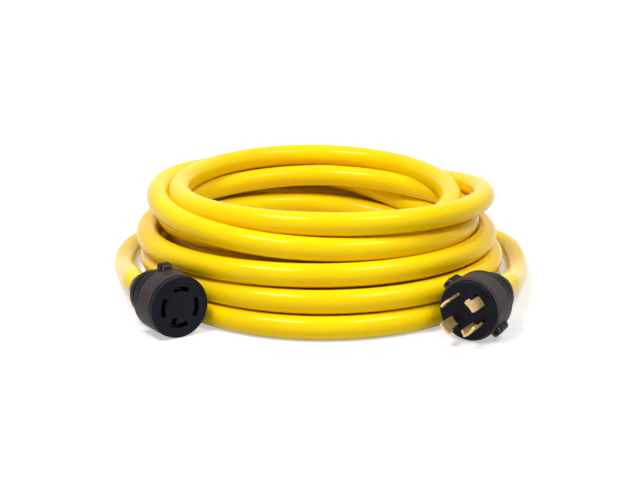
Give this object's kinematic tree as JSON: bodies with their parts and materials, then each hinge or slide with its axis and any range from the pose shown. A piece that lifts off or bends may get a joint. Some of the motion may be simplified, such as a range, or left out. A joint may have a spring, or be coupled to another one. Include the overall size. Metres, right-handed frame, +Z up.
{
  "type": "shore power cord",
  "caption": "Coiled heavy power cord with a moulded locking plug and a matching locking connector, both with curved poles.",
  "frame": {"origin": "on the ground midway between the plug and the connector, at the middle of the box that the two ends fill", "axes": "+Z up from the ground, +X from the connector towards the plug, +Y from the ends towards the coil behind them"},
  "size_m": [0.3448, 0.3471, 0.089],
  "materials": {
    "jacket": "smooth satin flexible jacket",
    "housing": "satin moulded, fine ribs",
    "face": "fine matt moulded",
    "insulator": "moulded, plain",
    "relief": "satin moulded",
    "blade_brass": "stamped and tumbled",
    "contact_brass": "stamped spring strip",
    "screw_steel": "blackened",
    "insulation_white": "extruded",
    "insulation_black": "extruded",
    "insulation_green": "extruded",
    "insulation_red": "extruded"
  },
  "bodies": {
    "root": {"connector_shell": "housing", "connector_face": "face", "connector_back_plate": "insulator", "connector_strain_relief": "relief", "connector_lug_screws": "screw_steel", "plug_shell": "housing", "plug_face": "face", "plug_back_plate": "insulator", "plug_strain_relief": "relief", "plug_lug_screws": "screw_steel", "connector_contact_neutral": "contact_brass", "plug_blade_neutral": "blade_brass", "connector_conductor_white": "insulation_white", "plug_conductor_white": "insulation_white", "connector_contact_hot_x": "contact_brass", "plug_blade_hot_x": "blade_brass", "connector_conductor_black": "insulation_black", "plug_conductor_black": "insulation_black", "connector_contact_ground": "contact_brass", "plug_blade_ground": "blade_brass", "connector_conductor_green": "insulation_green", "plug_conductor_green": "insulation_green", "connector_contact_hot_y": "contact_brass", "plug_blade_hot_y": "blade_brass", "connector_conductor_red": "insulation_red", "plug_conductor_red": "insulation_red", "cord_coil": "jacket", "cord_tail_connector": "jacket", "cord_tail_plug": "jacket"}
  },
  "joints": []
}
